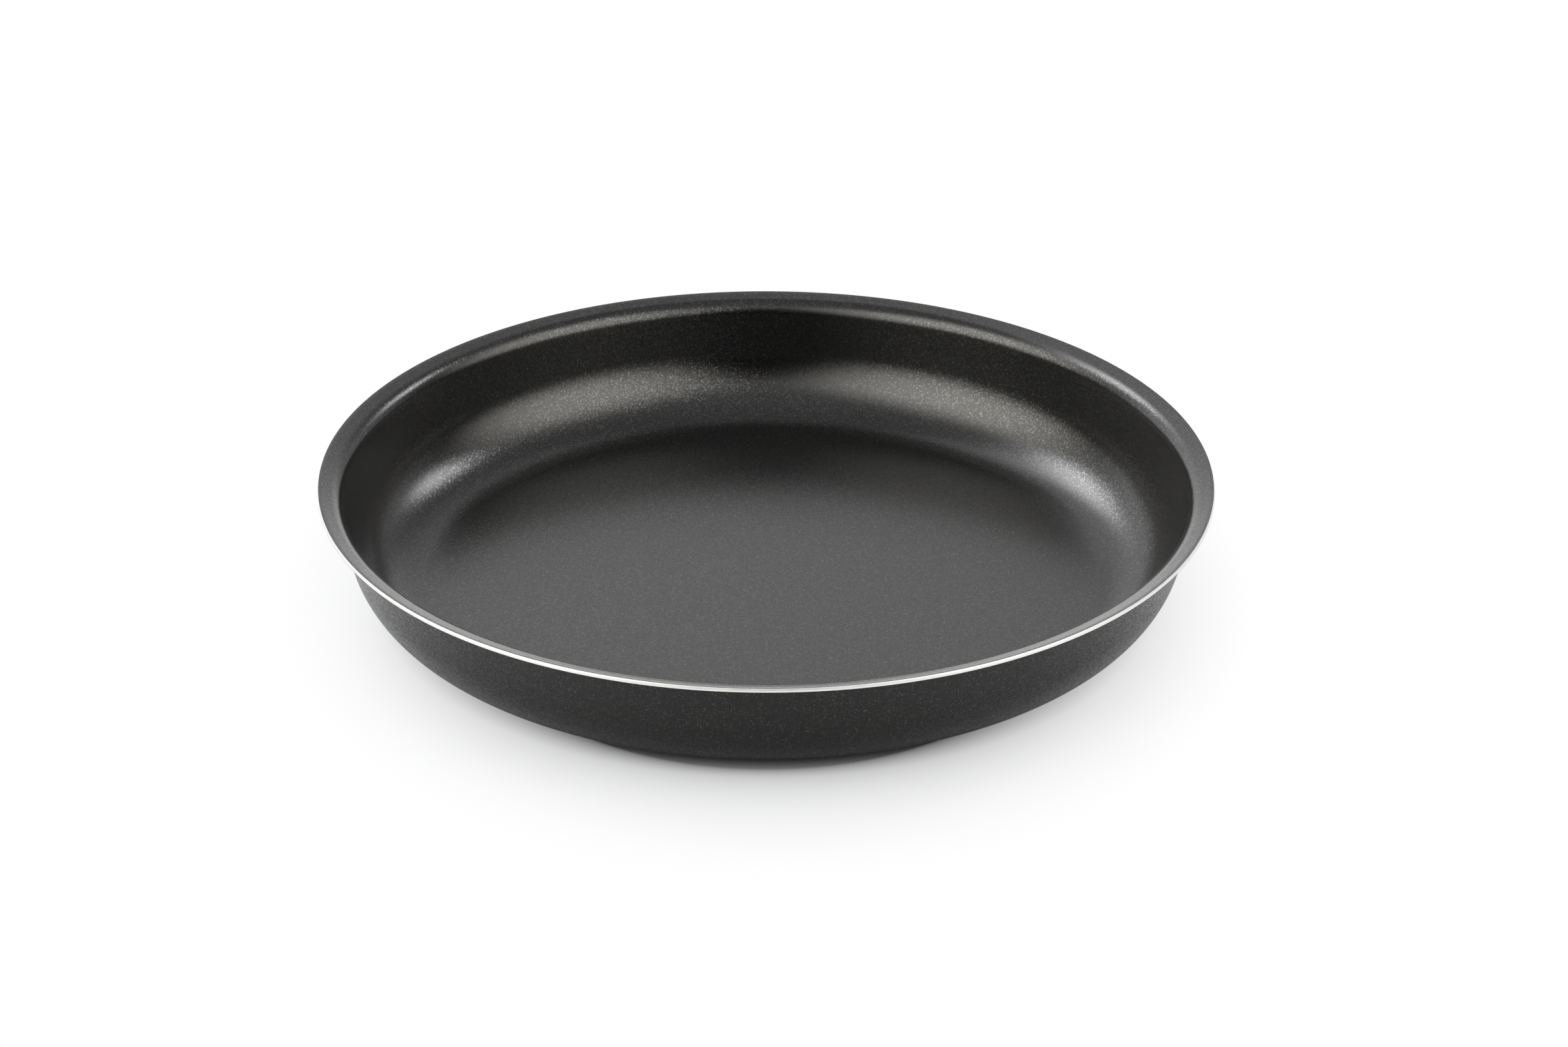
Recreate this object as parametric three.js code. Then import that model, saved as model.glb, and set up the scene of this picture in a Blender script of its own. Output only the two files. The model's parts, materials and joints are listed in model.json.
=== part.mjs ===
// Round shallow oven pan, pressed from one aluminium disc that carries a coating on each face.
// Millimetres and degrees, +Z up. The origin is the middle of the base, on the standing surface.
// One drawn profile runs from the middle of the base, round the corner, up the flared wall and over
// the roll to the cut edge of the lip. Each layer is the space between two offsets of that profile,
// turned about Z, so sheet and coatings lie face to face all the way out to the cut edge.

import * as THREE from 'three';
import { mergeVertices } from 'three/addons/utils/BufferGeometryUtils.js';

// Driving dimensions
const RIM_DIAMETER = 280; // over the lower corner of the cut edge
const PAN_HEIGHT = 38.5; // from the standing surface to the top of the lip
const LIP_WIDTH = 3.9; // straight part of the lip, along its slope
const LIP_RISE = 15; // slope of the lip above level
const LIP_ROLL_RADIUS = 4; // underside of the bend from wall to lip
const WALL_FLARE = 10.6; // lean of the wall from upright
const CORNER_RADIUS = 25; // outside of the bend from base to wall
const SHEET_THICKNESS = 1.25;
const INTERIOR_COATING = 0.08;
const EXTERIOR_COATING = 0.06;

// Facets
const TURN_STEPS = 64;
const CORNER_STEPS = 8;
const ROLL_STEPS = 6;

// Layer boundaries, as offsets from the outermost surface towards the inside of the pan
const SHEET_OUTSIDE = EXTERIOR_COATING;
const SHEET_INSIDE = SHEET_OUTSIDE + SHEET_THICKNESS;
const COOKING_SURFACE = SHEET_INSIDE + INTERIOR_COATING;

// The profile is drawn as radius and height. A heading is the angle of travel above level.
const QUARTER_TURN = Math.PI / 2;
const BASE_HEADING = 0;
const WALL_HEADING = THREE.MathUtils.degToRad(90 - WALL_FLARE);
const LIP_HEADING = THREE.MathUtils.degToRad(LIP_RISE);

// Unit vector along a heading
function along(heading) {
  return new THREE.Vector2(Math.cos(heading), Math.sin(heading));
}

// Unit vector square to a heading, towards the inside of the pan
function inward(heading) {
  return along(heading + QUARTER_TURN);
}

// Places that fix the outermost surface, worked back from the cut edge to the base:
// the lower corner of the cut, the centre of the lip roll and the centre of the base corner
function profilePlaces() {
  const cutCorner = new THREE.Vector2(
    RIM_DIAMETER / 2,
    PAN_HEIGHT - COOKING_SURFACE * inward(LIP_HEADING).y,
  );
  const rollCentre = cutCorner
    .clone()
    .addScaledVector(along(LIP_HEADING), -LIP_WIDTH)
    .addScaledVector(inward(LIP_HEADING), -LIP_ROLL_RADIUS);
  const wallTop = rollCentre.clone().addScaledVector(inward(WALL_HEADING), LIP_ROLL_RADIUS);
  const cornerHeight = CORNER_RADIUS * (1 - Math.cos(WALL_HEADING));
  const wallLength = (wallTop.y - cornerHeight) / along(WALL_HEADING).y;
  const cornerCentre = wallTop
    .clone()
    .addScaledVector(along(WALL_HEADING), -wallLength)
    .addScaledVector(inward(WALL_HEADING), CORNER_RADIUS);
  return { cutCorner, rollCentre, cornerCentre };
}

// Points of the surface that lies the given offset inside the outermost one, from axis to cut edge.
// Both bends keep their centres, so the corner tightens and the roll opens as the offset grows.
function surfaceAt(offset) {
  const { cutCorner, rollCentre, cornerCentre } = profilePlaces();
  const corner = new THREE.ArcCurve(
    cornerCentre.x,
    cornerCentre.y,
    CORNER_RADIUS - offset,
    BASE_HEADING - QUARTER_TURN,
    WALL_HEADING - QUARTER_TURN,
    false,
  );
  const roll = new THREE.ArcCurve(
    rollCentre.x,
    rollCentre.y,
    LIP_ROLL_RADIUS + offset,
    WALL_HEADING + QUARTER_TURN,
    LIP_HEADING + QUARTER_TURN,
    true,
  );
  return [
    new THREE.Vector2(0, offset),
    ...corner.getPoints(CORNER_STEPS),
    ...roll.getPoints(ROLL_STEPS),
    cutCorner.clone().addScaledVector(inward(LIP_HEADING), offset),
  ];
}

// Closed layer between two surfaces, turned about Z, with its faces pointing out
function layerGeometry(outerOffset, innerOffset) {
  const section = [...surfaceAt(outerOffset), ...surfaceAt(innerOffset).reverse()];
  const turned = new THREE.LatheGeometry(section, TURN_STEPS).rotateX(QUARTER_TURN);
  turned.deleteAttribute('normal');
  turned.deleteAttribute('uv');
  const layer = mergeVertices(turned);
  layer.computeVertexNormals();
  return layer;
}

// Pressed sheet, bare only at the cut edge of the lip
function aluminiumBody() {
  const bareMetal = new THREE.MeshStandardMaterial({ color: 0xd6d6d3, roughness: 0.32, metalness: 1 });
  const mesh = new THREE.Mesh(layerGeometry(SHEET_OUTSIDE, SHEET_INSIDE), bareMetal);
  mesh.name = 'aluminium_body';
  return mesh;
}

// Non-stick lining of the floor, the corner, the wall and the top of the lip
function interiorCoating() {
  const lining = new THREE.MeshStandardMaterial({ color: 0x2a2a2b, roughness: 0.42, metalness: 0 });
  const mesh = new THREE.Mesh(layerGeometry(SHEET_INSIDE, COOKING_SURFACE), lining);
  mesh.name = 'interior_nonstick_coating';
  return mesh;
}

// Coating of the underside of the lip, the outer wall and the base
function exteriorCoating() {
  const finish = new THREE.MeshStandardMaterial({ color: 0x2e2d2c, roughness: 0.45, metalness: 0 });
  const mesh = new THREE.Mesh(layerGeometry(0, SHEET_OUTSIDE), finish);
  mesh.name = 'exterior_coating';
  return mesh;
}

const pan = new THREE.Group();
pan.name = 'lasagna_pan';
pan.add(aluminiumBody(), interiorCoating(), exteriorCoating());

export default pan;
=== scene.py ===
import json
import math
from typing import NamedTuple

import bpy
import numpy as np
from mathutils import Matrix, Vector


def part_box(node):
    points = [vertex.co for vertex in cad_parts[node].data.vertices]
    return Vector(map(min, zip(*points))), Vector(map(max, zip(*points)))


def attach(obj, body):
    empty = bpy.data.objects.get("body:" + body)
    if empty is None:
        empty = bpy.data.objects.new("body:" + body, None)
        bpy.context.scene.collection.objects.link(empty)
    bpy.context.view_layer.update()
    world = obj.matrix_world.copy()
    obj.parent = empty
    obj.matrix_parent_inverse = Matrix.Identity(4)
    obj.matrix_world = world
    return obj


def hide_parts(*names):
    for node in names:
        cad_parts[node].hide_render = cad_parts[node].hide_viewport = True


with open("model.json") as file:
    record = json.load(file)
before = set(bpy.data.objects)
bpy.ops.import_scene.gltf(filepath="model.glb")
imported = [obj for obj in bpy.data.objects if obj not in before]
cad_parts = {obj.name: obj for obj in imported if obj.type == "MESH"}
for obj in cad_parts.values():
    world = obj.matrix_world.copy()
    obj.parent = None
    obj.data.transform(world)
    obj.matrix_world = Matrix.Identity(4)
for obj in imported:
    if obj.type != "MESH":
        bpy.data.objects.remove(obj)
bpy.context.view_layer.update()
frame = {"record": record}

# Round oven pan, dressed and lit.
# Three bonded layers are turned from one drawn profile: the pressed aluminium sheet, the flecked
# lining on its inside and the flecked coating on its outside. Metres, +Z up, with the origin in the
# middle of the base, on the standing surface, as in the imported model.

MILLIMETRE = 0.001

bl_info = {
    "name": "Round Oven Pan",
    "version": (1, 0, 0),
    "blender": (4, 5, 0),
    "location": "3D View > Sidebar > Oven Pan",
    "description": "Turns, finishes and lights a pressed round oven pan with a flecked non-stick coating",
    "category": "Object",
}

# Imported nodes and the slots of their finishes
BODY = "root"
SHEET_NODE = "aluminium_body"
LINING_NODE = "interior_nonstick_coating"
OUTSIDE_NODE = "exterior_coating"

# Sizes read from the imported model
SHEET_LOW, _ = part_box(SHEET_NODE)
LINING_LOW, LINING_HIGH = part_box(LINING_NODE)
OUTSIDE_LOW, OUTSIDE_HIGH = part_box(OUTSIDE_NODE)
MOUNT_HEIGHTS = {mount["name"]: mount["pos_m"][2] for mount in frame["record"]["mounts"]}

# Facets of the turned layers
TURN_STEPS = 288
BASE_RINGS = 10
CORNER_RINGS = 40
WALL_RINGS = 8
ROLL_RINGS = 18
LIP_RINGS = 12
EDGE_RINGS = 10
SHARP_ANGLE = math.radians(30)

# Films: how metallic a fleck is, where it fades out in its cell, the orange peel and drifts of the gloss
FLECK_METALLIC = 0.94
FLECK_BORDER = (0.9, 1.1)
PEEL_SIZE = 0.9 * MILLIMETRE
PEEL_DETAIL = 2.0
PEEL_DEPTH = 0.1 * MILLIMETRE
PEEL_STRENGTH = 0.06
DRIFT_SCALE = 28.0
DRIFT_DETAIL = 4.0
GLOSS_DRIFT = 0.02

# Trimmed metal: marks of the tool, with the tone of the dullest, and smudges that change the gloss
MARK_SCALE = 9000.0
MARK_DETAIL = 2.0
MARK_DEPTH = 0.05 * MILLIMETRE
MARK_STRENGTH = 0.03
MARK_TONE = 0.96
SMUDGE_SCALE = 160.0
SMUDGE_DETAIL = 3.0
SMUDGE_GLOSS = 0.06

# Values between which most of a noise texture lies
NOISE_SPAN = (0.3, 0.7)

# Floor: its gloss, the tone of the painted shadow round its foot, and distances from the pan's axis, in
# metres, over which the painted shadow ends and the shadow gives way to a plain white glow, to the camera
# and in the mirror image
FLOOR_ROUGHNESS = 0.35
PAINTED_SHADOW_TONE = 0.45
PAINTED_SHADOW_SPAN = (0.114, 0.124)
MIRRORED_PAINTED_SHADOW_SPAN = (0.12, 0.165)
SHADOW_SPAN = (0.119, 0.187)
MIRRORED_SHADOW_SPAN = (0.125, 0.24)
SHADOW_NARROWING = (1.22, 1.0, 1.0)
SHADOW_FADE = 0.5

# Room that the films mirror, over the parts of a direction: x to the right, y to the back and z up
BACKDROP_START = (0.1, 0.55)
BACKDROP_SIDES = (-0.3, 0.45)
BACKDROP_LEVELS = (0.9, 0.31)
BACKDROP_TOP = (0.82, 0.88)
GLOW_MIDDLE = 0.08
GLOW_REACH = (0.15, 0.42)
GLOW_SHARES = (1.0, 0.2)
GLOW_TOP = (0.22, 0.48)
GLOW_LEVELS = (0.87, 0.0)
CEILING_START = (0.55, 0.8)
CEILING_ENDS = (-0.4, 0.4)
CEILING_LEVELS = (0.42, 0.29)

# Frame of the photograph and the focal length that was fitted in it, in pixels, the camera's sensor in
# millimetres and the nearest distance that it takes in, in metres
PHOTO_WIDTH = 2349
FOCAL_PIXELS = 8300
SENSOR_WIDTH = 36
CLIP_START = 0.05

# Values for sockets
WHITE = (1.0, 1.0, 1.0, 1.0)
RISING = (0.0, 1.0)
FALLING = (1.0, 0.0)
RANDOM_MIDDLE = (0.5, 0.5, 0.5)

# Sockets of a Mix node that is set to colours, by number, because their names repeat
MIX_SHARE = 0
MIX_FIRST = 6
MIX_SECOND = 7
MIX_RESULT = 2


class PanShape(bpy.types.PropertyGroup):
    """Sizes of the pan's profile and of its three layers"""

    rim_diameter: bpy.props.FloatProperty(
        name="Rim Diameter",
        description="Width over the lower corner of the cut edge",
        default=OUTSIDE_HIGH.x - OUTSIDE_LOW.x,
        unit="LENGTH",
    )
    pan_height: bpy.props.FloatProperty(
        name="Pan Height",
        description="Standing surface to the top of the lip",
        default=LINING_HIGH.z - OUTSIDE_LOW.z,
        unit="LENGTH",
    )
    lip_width: bpy.props.FloatProperty(
        name="Lip Width",
        description="Straight part of the lip, along its slope",
        default=3.9 * MILLIMETRE,
        unit="LENGTH",
    )
    lip_rise: bpy.props.FloatProperty(
        name="Lip Rise",
        description="Slope of the lip above level",
        default=math.radians(15),
        subtype="ANGLE",
    )
    lip_roll_radius: bpy.props.FloatProperty(
        name="Lip Roll Radius",
        description="Underside of the bend from wall to lip",
        default=4.0 * MILLIMETRE,
        unit="LENGTH",
    )
    wall_flare: bpy.props.FloatProperty(
        name="Wall Flare",
        description="Lean of the wall from upright",
        default=math.radians(10.6),
        subtype="ANGLE",
    )
    corner_radius: bpy.props.FloatProperty(
        name="Corner Radius",
        description="Outside of the bend from base to wall",
        default=25 * MILLIMETRE,
        unit="LENGTH",
    )
    sheet_thickness: bpy.props.FloatProperty(
        name="Sheet Thickness",
        description="Gauge of the aluminium",
        default=LINING_LOW.z - SHEET_LOW.z,
        unit="LENGTH",
    )
    lining_thickness: bpy.props.FloatProperty(
        name="Lining Thickness",
        description="Non-stick film on the inside",
        default=MOUNT_HEIGHTS["inside_floor"] - LINING_LOW.z,
        unit="LENGTH",
    )
    outside_thickness: bpy.props.FloatProperty(
        name="Outside Thickness",
        description="Film on the wall, the base and the underside of the lip",
        default=SHEET_LOW.z - OUTSIDE_LOW.z,
        unit="LENGTH",
    )
    edge_ease_reach: bpy.props.FloatProperty(
        name="Edge Ease Reach",
        description="How far in from the cut edge the top of the lip turns down",
        default=1.5 * MILLIMETRE,
        unit="LENGTH",
    )
    edge_ease_depth: bpy.props.FloatProperty(
        name="Edge Ease Depth",
        description="How far the trimming pressed down the top of the cut edge",
        default=0.14 * MILLIMETRE,
        unit="LENGTH",
    )
    edge_crown: bpy.props.FloatProperty(
        name="Edge Crown",
        description="How far the deburred cut edge bulges past a square cut",
        default=0.105 * MILLIMETRE,
        unit="LENGTH",
    )


class PanFinish(bpy.types.PropertyGroup):
    """Colours and flecks of the pan's surfaces"""

    lining_colour: bpy.props.FloatVectorProperty(
        name="Lining Colour",
        description="Pigment of the inside film, under its flecks",
        default=(0.0049, 0.0049, 0.005),
        subtype="COLOR",
    )
    lining_roughness: bpy.props.FloatProperty(
        name="Lining Roughness",
        description="Spread of the gloss of the inside film",
        default=0.21,
        subtype="FACTOR",
    )
    outside_colour: bpy.props.FloatVectorProperty(
        name="Outside Colour",
        description="Pigment of the outside film, under its flecks",
        default=(0.0048, 0.0047, 0.0039),
        subtype="COLOR",
    )
    outside_roughness: bpy.props.FloatProperty(
        name="Outside Roughness",
        description="Spread of the gloss of the outside film",
        default=0.28,
        subtype="FACTOR",
    )
    lining_ior: bpy.props.FloatProperty(
        name="Lining Refraction",
        description="Index of refraction of the clear skin of the inside film",
        default=1.475,
    )
    outside_ior: bpy.props.FloatProperty(
        name="Outside Refraction",
        description="Index of refraction of the clear skin of the outside film",
        default=1.39,
    )
    lining_bare_share: bpy.props.FloatProperty(
        name="Lining Bare Share",
        description="Share of the inside film that holds no fleck",
        default=0.0,
        subtype="FACTOR",
    )
    outside_bare_share: bpy.props.FloatProperty(
        name="Outside Bare Share",
        description="Share of the outside film that holds no fleck",
        default=0.6,
        subtype="FACTOR",
    )
    lining_fleck_size: bpy.props.FloatProperty(
        name="Lining Fleck Size",
        description="Room that one fleck takes up in the inside film",
        default=0.35 * MILLIMETRE,
        unit="LENGTH",
    )
    outside_fleck_size: bpy.props.FloatProperty(
        name="Outside Fleck Size",
        description="Room that one fleck takes up in the outside film",
        default=0.3 * MILLIMETRE,
        unit="LENGTH",
    )
    lining_fleck_colour: bpy.props.FloatVectorProperty(
        name="Lining Fleck Colour",
        description="Metal flecks as seen through the inside film",
        default=(0.146, 0.146, 0.144),
        subtype="COLOR",
    )
    outside_fleck_colour: bpy.props.FloatVectorProperty(
        name="Outside Fleck Colour",
        description="Metal flecks as seen through the outside film",
        default=(0.086, 0.086, 0.0813),
        subtype="COLOR",
    )
    lining_faintest_fleck: bpy.props.FloatProperty(
        name="Lining Faintest Fleck",
        description="Tone of the faintest flecks of the inside film, as a share of the brightest",
        default=0.3,
        subtype="FACTOR",
    )
    outside_faintest_fleck: bpy.props.FloatProperty(
        name="Outside Faintest Fleck",
        description="Tone of the faintest flecks of the outside film, as a share of the brightest",
        default=0.15,
        subtype="FACTOR",
    )
    lining_fleck_contrast: bpy.props.FloatProperty(
        name="Lining Fleck Contrast",
        description="How few flecks of the inside film are bright, as an exponent",
        default=5.5,
    )
    outside_fleck_contrast: bpy.props.FloatProperty(
        name="Outside Fleck Contrast",
        description="How few flecks of the outside film are bright, as an exponent",
        default=10.0,
    )
    lining_grazing_fleck: bpy.props.FloatProperty(
        name="Lining Grazing Fleck",
        description="How fully the flecks of the inside film brighten towards a grazing view",
        default=0.6,
        subtype="FACTOR",
    )
    outside_grazing_fleck: bpy.props.FloatProperty(
        name="Outside Grazing Fleck",
        description="How fully the flecks of the outside film brighten towards a grazing view",
        default=1.0,
        subtype="FACTOR",
    )
    fleck_tilt: bpy.props.FloatProperty(
        name="Fleck Tilt",
        description="Most that a fleck leans out of the film, as a slope",
        default=0.1,
    )
    edge_colour: bpy.props.FloatVectorProperty(
        name="Edge Colour",
        description="Bare aluminium of the cut edge",
        default=(0.93, 0.93, 0.925),
        subtype="COLOR",
    )
    edge_roughness: bpy.props.FloatProperty(
        name="Edge Roughness",
        description="Spread of the gloss of the trimmed metal",
        default=0.5,
        subtype="FACTOR",
    )


class PanStudio(bpy.types.PropertyGroup):
    """Camera and floor of the studio"""

    camera_place: bpy.props.FloatVectorProperty(
        name="Camera Place",
        description="Where the camera stands",
        default=(0.0, -1.5533, 0.8042),
        subtype="XYZ",
        unit="LENGTH",
    )
    camera_pitch: bpy.props.FloatProperty(
        name="Camera Pitch",
        description="How far the camera looks down",
        default=math.radians(26.74),
        subtype="ANGLE",
    )
    camera_yaw: bpy.props.FloatProperty(
        name="Camera Yaw",
        description="How far the camera looks to the right of the pan's axis",
        default=math.radians(0.207),
        subtype="ANGLE",
    )
    camera_roll: bpy.props.FloatProperty(
        name="Camera Roll",
        description="How far the camera leans",
        default=math.radians(0.177),
        subtype="ANGLE",
    )
    floor_width: bpy.props.FloatProperty(
        name="Floor Width",
        description="Side of the square floor",
        default=8.0,
        unit="LENGTH",
    )
    floor_colour: bpy.props.FloatVectorProperty(
        name="Floor Colour",
        description="White of the floor",
        default=(0.91, 0.938, 0.985),
        subtype="COLOR",
    )


class Softbox(NamedTuple):
    """A lamp that faces the pan, by angles in degrees: bearing, clockwise from straight behind, and height.

    Its width and tallness, seen from the pan, are measured where it has faded to half its radiance.
    """

    name: str
    bearing: float
    height: float
    width: float
    tallness: float
    radiance: float
    tint: tuple


WARM = (1.0, 0.98, 0.92)
COOL = (0.976, 0.976, 1.0)
SOFTBOX_DISTANCE = 1.6
SOFTBOX_FADE = 0.45
SOFTBOXES = (
    Softbox("left_front_softbox", -117, 34, 64, 47, 2.68, WARM),
    Softbox("right_front_softbox", 120, 34, 58, 47, 2.23, WARM),
    Softbox("left_back_softbox", -44, 41, 25, 16, 4.95, COOL),
    Softbox("right_back_softbox", 53, 33, 13, 16, 4.9, COOL),
)


# Profile of the pan, as radius and height


def along(heading):
    """Unit vector along a heading: its cosine and its sine."""
    return np.array((math.cos(heading), math.sin(heading)))


def inward(heading):
    """Unit vector a quarter turn from a heading, towards the inside of the pan."""
    return along(heading + math.pi / 2)


def bend(centre, reach, headings):
    """Arc of the profile: the centre plus the reach times the inward vector of each heading."""
    return centre + reach * np.stack((-np.sin(headings), np.cos(headings)), axis=1)


def straight(start, end, count):
    """Points evenly spaced between two places, without the places themselves."""
    share = np.linspace(0, 1, count + 2)[1:-1, None]
    return start + (end - start) * share


def layer_offsets(shape):
    """Offsets of the layers' boundaries from the outermost surface, from outside to inside."""
    sheet_outside = shape.outside_thickness
    sheet_inside = sheet_outside + shape.sheet_thickness
    return 0.0, sheet_outside, sheet_inside, sheet_inside + shape.lining_thickness


def profile_places(shape):
    """Lower corner of the cut edge, centre of the lip roll and centre of the base corner.

    They are worked back from the cut edge: down the lip to the roll, and down the wall to the corner
    that is tangent to it and to the base.
    """
    cooking_surface = layer_offsets(shape)[-1]
    wall = math.pi / 2 - shape.wall_flare
    lip = shape.lip_rise
    cut = np.array((shape.rim_diameter / 2, shape.pan_height - cooking_surface * inward(lip)[1]))
    roll_centre = cut - shape.lip_width * along(lip) - shape.lip_roll_radius * inward(lip)
    wall_top = roll_centre + shape.lip_roll_radius * inward(wall)
    corner_height = shape.corner_radius * (1 - math.cos(wall))
    wall_length = (wall_top[1] - corner_height) / along(wall)[1]
    corner_centre = wall_top - wall_length * along(wall) + shape.corner_radius * inward(wall)
    return cut, roll_centre, corner_centre


def eased(shape, lip, offset):
    """Lip points pressed down near the cut, their last one.

    A point sinks, square to the lip, by the ease depth times the square of how far it lies into the ease
    reach, as a share, times the share of the pan's thickness that the surface lies above the underside.
    """
    to_cut = np.linalg.norm(lip - lip[-1], axis=1, keepdims=True)
    share = np.clip(1 - to_cut / shape.edge_ease_reach, 0, 1)
    level = offset / layer_offsets(shape)[-1]
    return lip - shape.edge_ease_depth * level * share**2 * inward(shape.lip_rise)


def surface_at(shape, offset):
    """Section of the surface that lies the offset inside the outermost one, from the axis to the cut.

    The base is level at the height of the offset, the corner and the roll keep their centres while the
    corner tightens and the roll opens by the offset, and the wall and the lip are straight between. Near
    the cut the lip is eased down.
    """
    cut, roll_centre, corner_centre = profile_places(shape)
    wall = math.pi / 2 - shape.wall_flare
    corner = bend(corner_centre, offset - shape.corner_radius, np.linspace(0, wall, CORNER_RINGS))
    roll = bend(
        roll_centre, offset + shape.lip_roll_radius, np.linspace(wall, shape.lip_rise, ROLL_RINGS)
    )
    axis = np.array((0.0, offset))
    end = cut + offset * inward(shape.lip_rise)
    lip = np.vstack((straight(roll[-1], end, LIP_RINGS), end))
    return np.vstack((
        axis,
        straight(axis, corner[0], BASE_RINGS),
        corner,
        straight(corner[-1], roll[0], WALL_RINGS),
        roll,
        eased(shape, lip, offset),
    ))


def crowned_edge(start, end, crown, heading):
    """Points of a cut edge that bulges along a heading: a parabola of height crown over the chord."""
    share = np.linspace(0, 1, EDGE_RINGS + 2)[1:-1, None]
    return start + (end - start) * share + 4 * crown * share * (1 - share) * along(heading)


def layer_section(shape, outer, inner, crown=0.0):
    """Closed section of a layer: out along its outer surface, over the cut and back along its inner one."""
    outside = surface_at(shape, outer)
    inside = surface_at(shape, inner)
    if crown == 0:
        return np.vstack((outside, inside[::-1]))
    edge = crowned_edge(outside[-1], inside[-1], crown, shape.lip_rise)
    return np.vstack((outside, edge, inside[::-1]))


def turn(section, steps):
    """Vertices and faces of a section turned about Z.

    A point (r, z) of the section gives the ring (r cos a, r sin a, z) over evenly spaced angles a. The
    section starts and ends on the axis, where fans of triangles close the surface at single poles.
    """
    angles = np.linspace(0, 2 * math.pi, steps, endpoint=False)
    radii, heights = section[1:-1, :1], section[1:-1, 1:]
    rings = np.stack(
        (radii * np.cos(angles), radii * np.sin(angles), heights + 0 * angles), axis=-1
    )
    poles = np.array(((0, 0, section[0, 1]), (0, 0, section[-1, 1])))
    vertices = np.vstack((rings.reshape(-1, 3), poles))
    here = np.arange(rings.shape[0] * steps).reshape(-1, steps)
    ahead = np.roll(here, -1, axis=1)
    walls = np.stack((here[:-1], ahead[:-1], ahead[1:], here[1:]), axis=-1).reshape(-1, 4)
    first_pole = np.full(steps, len(vertices) - 2)
    last_pole = np.full(steps, len(vertices) - 1)
    fans = np.vstack((
        np.stack((first_pole, ahead[0], here[0]), axis=-1),
        np.stack((last_pole, here[-1], ahead[-1]), axis=-1),
    ))
    return vertices, [*walls.tolist(), *fans.tolist()]


def turned_piece(name, section, material, node):
    """New piece turned from a closed section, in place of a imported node, with its finish."""
    vertices, faces = turn(section, TURN_STEPS)
    mesh = bpy.data.meshes.new(name)
    mesh.from_pydata(vertices, [], faces)
    mesh.polygons.foreach_set("use_smooth", np.ones(len(mesh.polygons), dtype=bool))
    mesh.set_sharp_from_angle(angle=SHARP_ANGLE)
    mesh.materials.append(material)
    mesh.validate()
    piece = bpy.data.objects.new(name, mesh)
    bpy.context.scene.collection.objects.link(piece)
    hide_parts(node)
    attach(piece, BODY)


# Shader nodes


def set_sockets(tree, node, sockets):
    """Give a node's inputs their values, or a link where the value is another node's socket."""
    for key, value in sockets.items():
        if isinstance(value, bpy.types.NodeSocket):
            tree.links.new(value, node.inputs[key])
        else:
            node.inputs[key].default_value = value


def add_node(tree, kind, settings=None, sockets=None):
    """New node with plain settings and with its inputs set."""
    node = tree.nodes.new(kind)
    for key, value in (settings or {}).items():
        setattr(node, key, value)
    set_sockets(tree, node, sockets or {})
    return node


def math_node(tree, operation, *values):
    """Output of a Math node over the given values or sockets."""
    sockets = dict(enumerate(values))
    return add_node(tree, "ShaderNodeMath", {"operation": operation}, sockets).outputs[0]


def vector_node(tree, operation, *values):
    """Vector output of a Vector Math node over the given values or sockets."""
    sockets = dict(enumerate(values))
    return add_node(tree, "ShaderNodeVectorMath", {"operation": operation}, sockets).outputs[0]


def length_node(tree, vector):
    """Length of a vector."""
    return add_node(tree, "ShaderNodeVectorMath", {"operation": "LENGTH"}, {0: vector}).outputs["Value"]


def split(tree, vector):
    """The x, y and z of a vector."""
    return add_node(tree, "ShaderNodeSeparateXYZ", None, {0: vector}).outputs


def blend_colour(tree, share, first, second):
    """Colour between two colours, by a share from 0 to 1."""
    sockets = {MIX_SHARE: share, MIX_FIRST: first, MIX_SECOND: second}
    return add_node(tree, "ShaderNodeMix", {"data_type": "RGBA"}, sockets).outputs[MIX_RESULT]


def map_range(tree, value, span, levels=RISING, smooth=False):
    """Value carried from a span to the levels at its two ends, and held beyond them."""
    settings = {"interpolation_type": "SMOOTHSTEP" if smooth else "LINEAR"}
    sockets = dict(enumerate((value, *span, *levels)))
    return add_node(tree, "ShaderNodeMapRange", settings, sockets).outputs[0]


def noise(tree, place, scale, detail, dimensions="3D"):
    """Value of a noise texture, about a half on average."""
    settings = {"noise_dimensions": dimensions}
    sockets = {"Vector": place, "Scale": scale, "Detail": detail}
    return add_node(tree, "ShaderNodeTexNoise", settings, sockets).outputs[0]


def relief(tree, height, strength, depth):
    """Normal of a surface with a fine relief, whose height goes from 0 to 1 over the depth."""
    sockets = {"Strength": strength, "Distance": depth, "Height": height}
    return add_node(tree, "ShaderNodeBump", None, sockets).outputs["Normal"]


def opaque(colour):
    """Colour property with full opacity, as a colour socket takes it."""
    return (*colour, 1.0)


def new_group(name, inputs, outputs):
    """New shader node group, with its input node, its output node and its sockets by name and type."""
    group = bpy.data.node_groups.new(name, "ShaderNodeTree")
    for label, kind in inputs.items():
        group.interface.new_socket(name=label, in_out="INPUT", socket_type=kind)
    for label, kind in outputs.items():
        group.interface.new_socket(name=label, in_out="OUTPUT", socket_type=kind)
    return group, group.nodes.new("NodeGroupInput"), group.nodes.new("NodeGroupOutput")


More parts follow.
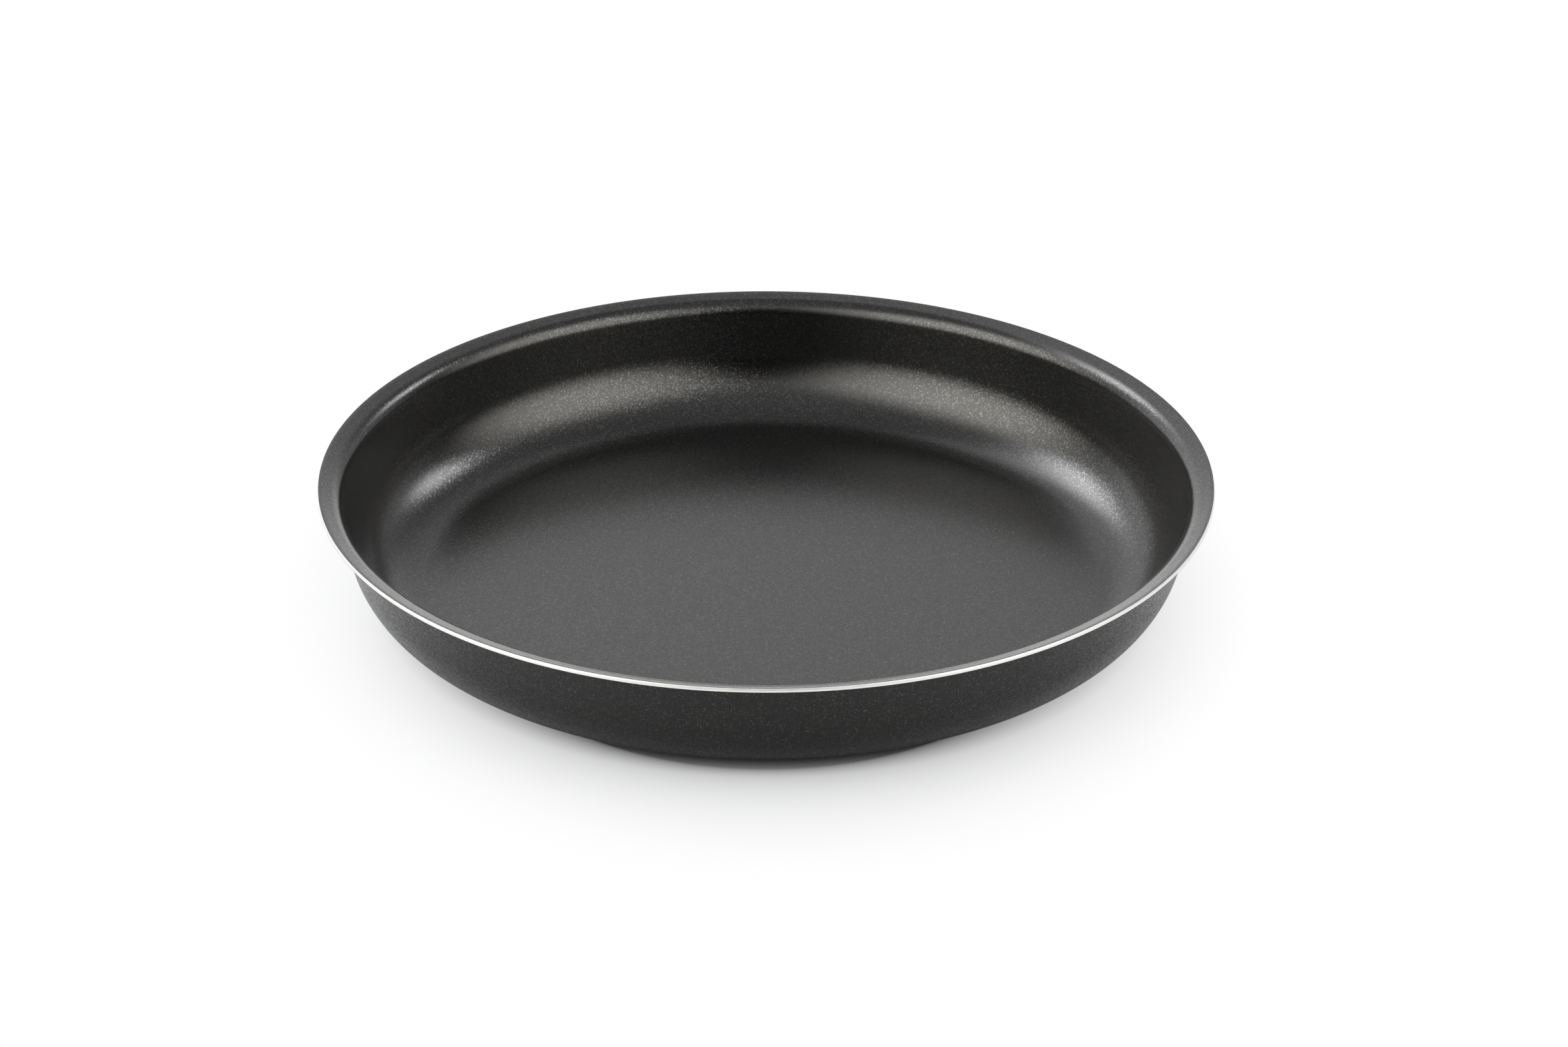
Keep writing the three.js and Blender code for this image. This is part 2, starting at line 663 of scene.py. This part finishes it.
def metal_flecks_group():
    """Flat metal flecks in a film, one at most in each cell of a random foam.

    A cell holds a fleck where its random number passes the bare share. How far it passes, as a share of the
    rest raised to the contrast, is the fleck's tone. The fleck fades out towards the cell's far corners and
    leans by a random vector.
    """
    name = "Metal Flecks"
    if name in bpy.data.node_groups:
        return bpy.data.node_groups[name]
    group, given, made = new_group(
        name,
        {
            "Position": "NodeSocketVector",
            "Normal": "NodeSocketVector",
            "Cell Size": "NodeSocketFloat",
            "Bare Share": "NodeSocketFloat",
            "Contrast": "NodeSocketFloat",
            "Tilt": "NodeSocketFloat",
        },
        {"Mask": "NodeSocketFloat", "Tone": "NodeSocketFloat", "Normal": "NodeSocketVector"},
    )
    scale = math_node(group, "DIVIDE", 1.0, given.outputs["Cell Size"])
    foam = add_node(
        group,
        "ShaderNodeTexVoronoi",
        {"voronoi_dimensions": "3D", "feature": "F1"},
        {"Vector": given.outputs["Position"], "Scale": scale},
    )
    lot = add_node(
        group,
        "ShaderNodeTexWhiteNoise",
        {"noise_dimensions": "3D"},
        {"Vector": foam.outputs["Position"]},
    )
    bare = given.outputs["Bare Share"]
    present = math_node(group, "GREATER_THAN", lot.outputs["Value"], bare)
    tone = map_range(group, lot.outputs["Value"], (bare, 1.0))
    inside = map_range(group, foam.outputs["Distance"], FLECK_BORDER, FALLING, smooth=True)
    mask = math_node(group, "MULTIPLY", present, inside)
    lean = vector_node(group, "SUBTRACT", lot.outputs["Color"], RANDOM_MIDDLE)
    reach = math_node(group, "MULTIPLY", mask, given.outputs["Tilt"])
    tip = add_node(group, "ShaderNodeVectorMath", {"operation": "SCALE"}, {0: lean, "Scale": reach})
    tipped = vector_node(group, "ADD", given.outputs["Normal"], tip.outputs[0])
    set_sockets(group, made, {
        "Mask": mask,
        "Tone": math_node(group, "POWER", tone, given.outputs["Contrast"]),
        "Normal": vector_node(group, "NORMALIZE", tipped),
    })
    return group


def sprayed_film_group():
    """Surface of a sprayed and baked film: fine orange peel, and slow drifts of its gloss."""
    name = "Sprayed Film"
    if name in bpy.data.node_groups:
        return bpy.data.node_groups[name]
    group, given, made = new_group(
        name,
        {"Position": "NodeSocketVector", "Peel Size": "NodeSocketFloat"},
        {"Peel": "NodeSocketFloat", "Drift": "NodeSocketFloat"},
    )
    place = given.outputs["Position"]
    scale = math_node(group, "DIVIDE", 1.0, given.outputs["Peel Size"])
    set_sockets(group, made, {
        "Peel": noise(group, place, scale, PEEL_DETAIL),
        "Drift": noise(group, place, DRIFT_SCALE, DRIFT_DETAIL),
    })
    return group


def new_material(name):
    """New material with a Principled shader, and its tree, shader and Object coordinates."""
    material = bpy.data.materials.new(name)
    material.use_nodes = True
    tree = material.node_tree
    shader = tree.nodes["Principled BSDF"]
    place = tree.nodes.new("ShaderNodeTexCoord").outputs["Object"]
    return material, tree, shader, place


def film_looks(finish, side):
    """Properties of the finish that belong to a side, lining or outside, by the rest of their names."""
    prefix = side + "_"
    keys = [key for key in finish.__annotations__ if key.startswith(prefix)]
    return {key.removeprefix(prefix): getattr(finish, key) for key in keys}


def film_material(name, finish, side):
    """Baked non-stick film of a side: dark pigment and flat metal flecks under a clear skin.

    The skin is the shader's coat. The layer under it, which has the orange peel, gets a refraction of 1, so
    that only its flecks mirror.
    """
    looks = film_looks(finish, side)
    roughness = looks["roughness"]
    material, tree, shader, place = new_material(name)
    film = add_node(
        tree,
        "ShaderNodeGroup",
        {"node_tree": sprayed_film_group()},
        {"Position": place, "Peel Size": PEEL_SIZE},
    )
    fleck = add_node(
        tree,
        "ShaderNodeGroup",
        {"node_tree": metal_flecks_group()},
        {
            "Position": place,
            "Normal": relief(tree, film.outputs["Peel"], PEEL_STRENGTH, PEEL_DEPTH),
            "Cell Size": looks["fleck_size"],
            "Bare Share": looks["bare_share"],
            "Contrast": looks["fleck_contrast"],
            "Tilt": finish.fleck_tilt,
        },
    )
    mask = fleck.outputs["Mask"]
    glosses = (roughness - GLOSS_DRIFT, roughness + GLOSS_DRIFT)
    bright = looks["fleck_colour"]
    faint = opaque(looks["faintest_fleck"] * channel for channel in bright)
    pale = blend_colour(tree, fleck.outputs["Tone"], faint, opaque(bright))
    set_sockets(tree, shader, {
        "Base Color": blend_colour(tree, mask, opaque(looks["colour"]), pale),
        "Metallic": math_node(tree, "MULTIPLY", mask, FLECK_METALLIC),
        "Roughness": map_range(tree, film.outputs["Drift"], NOISE_SPAN, glosses),
        "Normal": fleck.outputs["Normal"],
        "IOR": 1.0,
        "Specular Tint": opaque((looks["grazing_fleck"],) * 3),
        "Coat Weight": 1.0,
        "Coat IOR": looks["ior"],
        "Coat Roughness": roughness,
    })
    return material


def trimmed_metal_material(finish):
    """Bare aluminium of the trimmed edge, with fine marks of the trimming tool that run round the rim."""
    material, tree, shader, place = new_material("trimmed_aluminium")
    x, y, z = split(tree, place)
    radius = length_node(tree, add_node(tree, "ShaderNodeCombineXYZ", None, {"X": x, "Y": y}).outputs[0])
    across = add_node(tree, "ShaderNodeCombineXYZ", None, {"X": radius, "Y": z}).outputs[0]
    marks = noise(tree, across, MARK_SCALE, MARK_DETAIL, "2D")
    smudge = noise(tree, place, SMUDGE_SCALE, SMUDGE_DETAIL)
    roughness = finish.edge_roughness
    glosses = (roughness - SMUDGE_GLOSS, roughness + SMUDGE_GLOSS)
    # Colour of the dullest tool marks
    tool_mark_and_painted_shadow_colour = opaque(MARK_TONE * channel for channel in finish.edge_colour)
    set_sockets(tree, shader, {
        "Base Color": blend_colour(tree, marks, tool_mark_and_painted_shadow_colour, opaque(finish.edge_colour)),
        "Metallic": 1.0,
        "Roughness": map_range(tree, smudge, NOISE_SPAN, glosses),
        "Normal": relief(tree, marks, MARK_STRENGTH, MARK_DEPTH),
    })
    return material


# Studio


def ray_kinds(tree):
    """Two sockets: 1 for a camera ray, and 1 for a glossy or transmission ray."""
    path = tree.nodes.new("ShaderNodeLightPath")
    mirrored = math_node(
        tree, "MAXIMUM", path.outputs["Is Glossy Ray"], path.outputs["Is Transmission Ray"]
    )
    return path.outputs["Is Camera Ray"], mirrored


def mix_to_output(tree, output, share, first, second):
    """Feed an output node with two shader nodes, mixed by a share from 0 to 1."""
    sockets = {0: share, 1: first.outputs[0], 2: second.outputs[0]}
    mixed = add_node(tree, "ShaderNodeMixShader", None, sockets)
    tree.links.new(mixed.outputs[0], output.inputs["Surface"])


def floor_material(studio):
    """White floor with a painted shadow: its colour darkens close round the pan's foot, over the shadow
    that is rendered.

    Further out it glows plain white, by a share that grows with the distance. In its mirror image on the
    pan, the painted shadow ends and the plain white starts further out, which is painted shade in the
    reflection.
    """
    material, tree, shader, place = new_material("white_floor")
    seen, mirrored = ray_kinds(tree)
    distance = length_node(tree, place)
    # Painted shadow: the floor's colour darkens close round the pan's foot, and further out for mirrored
    # rays, as painted shade in the reflection on the pan
    not_mirrored = math_node(tree, "SUBTRACT", 1.0, mirrored)
    mirrored_outside_painted_shadow = map_range(tree, distance, MIRRORED_PAINTED_SHADOW_SPAN)
    outside_painted_shadow = math_node(
        tree,
        "MINIMUM",
        map_range(tree, distance, PAINTED_SHADOW_SPAN),
        math_node(tree, "MAXIMUM", mirrored_outside_painted_shadow, not_mirrored),
    )
    # Colour of the painted shadow round the foot
    tool_mark_and_painted_shadow_colour = opaque(PAINTED_SHADOW_TONE * channel for channel in studio.floor_colour)
    set_sockets(tree, shader, {
        "Base Color": blend_colour(tree, outside_painted_shadow, tool_mark_and_painted_shadow_colour, opaque(studio.floor_colour)),
        "Roughness": FLOOR_ROUGHNESS,
    })
    # Painted light: a white glow whose share grows with the distance from the pan and lightens the rendered
    # shadow, sooner at the sides
    spread = length_node(tree, vector_node(tree, "MULTIPLY", place, SHADOW_NARROWING))
    lightening = math_node(tree, "POWER", map_range(tree, spread, SHADOW_SPAN), SHADOW_FADE)
    far = math_node(tree, "MULTIPLY", seen, lightening)
    mirrored_far = math_node(tree, "MULTIPLY", mirrored, map_range(tree, spread, MIRRORED_SHADOW_SPAN))
    white = add_node(tree, "ShaderNodeEmission", None, {"Color": WHITE, "Strength": 1.0})
    share = math_node(tree, "MAXIMUM", far, mirrored_far)
    mix_to_output(tree, tree.nodes["Material Output"], share, shader, white)
    return material


def make_floor(studio):
    """Flat square floor under the pan, as a grid of one face."""
    half = studio.floor_width / 2
    corners = ((-half, -half, 0), (half, -half, 0), (half, half, 0), (-half, half, 0))
    mesh = bpy.data.meshes.new("studio_floor")
    mesh.from_pydata(corners, [], ((0, 1, 2, 3),))
    mesh.materials.append(floor_material(studio))
    floor = bpy.data.objects.new("studio_floor", mesh)
    bpy.context.scene.collection.objects.link(floor)


def make_surroundings():
    """World that is white to the camera, and to other rays a dim room.

    Behind the pan the room has a pale backdrop, lighter at the left, with a glow low in its middle.
    Overhead it has a ceiling, lighter towards the front.
    """
    scene = bpy.context.scene
    scene.world = scene.world or bpy.data.worlds.new("studio_surroundings")
    scene.world.use_nodes = True
    tree = scene.world.node_tree
    tree.nodes.clear()
    x, y, z = split(tree, tree.nodes.new("ShaderNodeTexCoord").outputs["Generated"])
    across = map_range(tree, x, BACKDROP_SIDES, BACKDROP_LEVELS)
    under_top = map_range(tree, z, BACKDROP_TOP, FALLING, smooth=True)
    backdrop = math_node(tree, "MULTIPLY", across, under_top)
    aside = math_node(tree, "ABSOLUTE", math_node(tree, "SUBTRACT", x, GLOW_MIDDLE))
    middle = map_range(tree, aside, GLOW_REACH, GLOW_SHARES, smooth=True)
    glow = math_node(tree, "MULTIPLY", middle, map_range(tree, z, GLOW_TOP, GLOW_LEVELS))
    behind = map_range(tree, y, BACKDROP_START, smooth=True)
    lit = math_node(tree, "MULTIPLY", behind, math_node(tree, "ADD", backdrop, glow))
    overhead = map_range(tree, z, CEILING_START, smooth=True)
    ceiling = math_node(tree, "MULTIPLY", overhead, map_range(tree, y, CEILING_ENDS, CEILING_LEVELS))
    level = math_node(tree, "MAXIMUM", lit, ceiling)
    room = add_node(tree, "ShaderNodeBackground", None, {"Color": WHITE, "Strength": level})
    white = add_node(tree, "ShaderNodeBackground", None, {"Color": WHITE, "Strength": 1.0})
    seen = tree.nodes.new("ShaderNodeLightPath").outputs["Is Camera Ray"]
    mix_to_output(tree, tree.nodes.new("ShaderNodeOutputWorld"), seen, room, white)


def softbox_side(angle):
    """Side of a softbox that has faded to half over an angle, in degrees, seen from the pan."""
    return 2 * SOFTBOX_DISTANCE * math.tan(math.radians(angle / 2)) / (1 - SOFTBOX_FADE)


def fade_softbox(lamp):
    """Dim an area lamp smoothly to nothing over a share of its sides, in from all four edges.

    Its UV goes from 0 to 1 over each side, so the middle is at a half, and an edge is a half from it.
    """
    half = 0.5
    lamp.use_nodes = True
    tree = lamp.node_tree
    across, up, _ = split(tree, tree.nodes.new("ShaderNodeTexCoord").outputs["UV"])
    levels = []
    for coordinate in (across, up):
        off_centre = math_node(tree, "ABSOLUTE", math_node(tree, "SUBTRACT", coordinate, half))
        levels.append(map_range(tree, off_centre, (half - SOFTBOX_FADE, half), FALLING, smooth=True))
    strength = math_node(tree, "MULTIPLY", *levels)
    tree.links.new(strength, tree.nodes["Emission"].inputs["Strength"])


def make_softbox(box):
    """Area lamp that faces the pan. Its power is its radiance times its area times pi."""
    bearing, height = math.radians(box.bearing), math.radians(box.height)
    away = Vector((
        math.sin(bearing) * math.cos(height), math.cos(bearing) * math.cos(height), math.sin(height)
    ))
    lamp = bpy.data.lights.new(box.name, "AREA")
    lamp.shape = "RECTANGLE"
    lamp.size = softbox_side(box.width)
    lamp.size_y = softbox_side(box.tallness)
    lamp.energy = box.radiance * lamp.size * lamp.size_y * math.pi
    lamp.color = box.tint
    fade_softbox(lamp)
    stand = bpy.data.objects.new(box.name, lamp)
    stand.location = away * SOFTBOX_DISTANCE
    stand.rotation_euler = away.to_track_quat("Z", "Y").to_euler()
    stand.visible_camera = False
    bpy.context.scene.collection.objects.link(stand)


def make_camera(studio):
    """Camera of the photograph, turned by yaw, pitch and roll, with a lens of the fitted focal length."""
    pitch, yaw, roll = studio.camera_pitch, studio.camera_yaw, studio.camera_roll
    forward = Vector((
        math.sin(yaw) * math.cos(pitch), math.cos(yaw) * math.cos(pitch), -math.sin(pitch)
    ))
    level = Vector((math.cos(yaw), -math.sin(yaw), 0))
    upright = level.cross(forward)
    right = level * math.cos(roll) + upright * math.sin(roll)
    up = upright * math.cos(roll) - level * math.sin(roll)
    data = bpy.data.cameras.new("photo_camera")
    data.sensor_fit = "HORIZONTAL"
    data.sensor_width = SENSOR_WIDTH
    data.lens = FOCAL_PIXELS * SENSOR_WIDTH / PHOTO_WIDTH
    data.clip_start = CLIP_START
    camera = bpy.data.objects.new("photo_camera", data)
    turn_matrix = Matrix((right, up, -forward)).transposed()
    camera.matrix_world = Matrix.Translation(studio.camera_place) @ turn_matrix.to_4x4()
    bpy.context.scene.collection.objects.link(camera)
    bpy.context.scene.camera = camera


# Operators, one for each piece and one for the studio


class OVENPAN_OT_pressed_sheet(bpy.types.Operator):
    """Turn the pressed aluminium sheet, with its crowned bare edge"""

    bl_idname = "oven_pan.pressed_sheet"
    bl_label = "Pressed Sheet"

    def execute(self, context):
        shape, finish = context.scene.oven_pan_shape, context.scene.oven_pan_finish
        _, outside, inside, _ = layer_offsets(shape)
        section = layer_section(shape, outside, inside, shape.edge_crown)
        turned_piece("pressed_sheet", section, trimmed_metal_material(finish), SHEET_NODE)
        return {"FINISHED"}


class OVENPAN_OT_lining(bpy.types.Operator):
    """Turn the flecked non-stick lining of the floor, the wall and the top of the lip"""

    bl_idname = "oven_pan.lining"
    bl_label = "Non-stick Lining"

    def execute(self, context):
        shape, finish = context.scene.oven_pan_shape, context.scene.oven_pan_finish
        _, _, inside, cooking_surface = layer_offsets(shape)
        section = layer_section(shape, inside, cooking_surface)
        film = film_material("flecked_lining", finish, "lining")
        turned_piece("nonstick_lining", section, film, LINING_NODE)
        return {"FINISHED"}


class OVENPAN_OT_outside_coating(bpy.types.Operator):
    """Turn the sparsely flecked coating of the wall, the base and the underside of the lip"""

    bl_idname = "oven_pan.outside_coating"
    bl_label = "Outside Coating"

    def execute(self, context):
        shape, finish = context.scene.oven_pan_shape, context.scene.oven_pan_finish
        outermost, outside, _, _ = layer_offsets(shape)
        section = layer_section(shape, outermost, outside)
        film = film_material("flecked_outside_coating", finish, "outside")
        turned_piece("outside_coating", section, film, OUTSIDE_NODE)
        return {"FINISHED"}


class OVENPAN_OT_studio(bpy.types.Operator):
    """Set up the white floor, the softboxes, the surroundings and the camera"""

    bl_idname = "oven_pan.studio"
    bl_label = "Studio"

    def execute(self, context):
        studio = context.scene.oven_pan_studio
        context.scene.view_settings.view_transform = "Standard"
        make_floor(studio)
        make_surroundings()
        for box in SOFTBOXES:
            make_softbox(box)
        make_camera(studio)
        return {"FINISHED"}


class OVENPAN_PT_sidebar(bpy.types.Panel):
    """Sidebar page with the pan's sizes, finishes and steps"""

    bl_idname = "OVENPAN_PT_sidebar"
    bl_label = "Round Oven Pan"
    bl_space_type = "VIEW_3D"
    bl_region_type = "UI"
    bl_category = "Oven Pan"

    def draw(self, context):
        scene = context.scene
        for step in STEPS:
            self.layout.operator(step.bl_idname)
        for group in (scene.oven_pan_shape, scene.oven_pan_finish, scene.oven_pan_studio):
            box = self.layout.box()
            for key in group.__annotations__:
                box.prop(group, key)


STEPS = (
    OVENPAN_OT_pressed_sheet,
    OVENPAN_OT_lining,
    OVENPAN_OT_outside_coating,
    OVENPAN_OT_studio,
)
CLASSES = (PanShape, PanFinish, PanStudio, *STEPS, OVENPAN_PT_sidebar)


def register():
    """Register the classes and hang the property groups on the scene."""
    for item in CLASSES:
        bpy.utils.register_class(item)
    bpy.types.Scene.oven_pan_shape = bpy.props.PointerProperty(type=PanShape)
    bpy.types.Scene.oven_pan_finish = bpy.props.PointerProperty(type=PanFinish)
    bpy.types.Scene.oven_pan_studio = bpy.props.PointerProperty(type=PanStudio)


def unregister():
    """Take the property groups off the scene and unregister the classes."""
    del bpy.types.Scene.oven_pan_studio
    del bpy.types.Scene.oven_pan_finish
    del bpy.types.Scene.oven_pan_shape
    for item in reversed(CLASSES):
        bpy.utils.unregister_class(item)


def main():
    """Register the add-on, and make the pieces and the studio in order."""
    register()
    bpy.ops.oven_pan.pressed_sheet()
    bpy.ops.oven_pan.lining()
    bpy.ops.oven_pan.outside_coating()
    bpy.ops.oven_pan.studio()


if __name__ == "__main__":
    main()
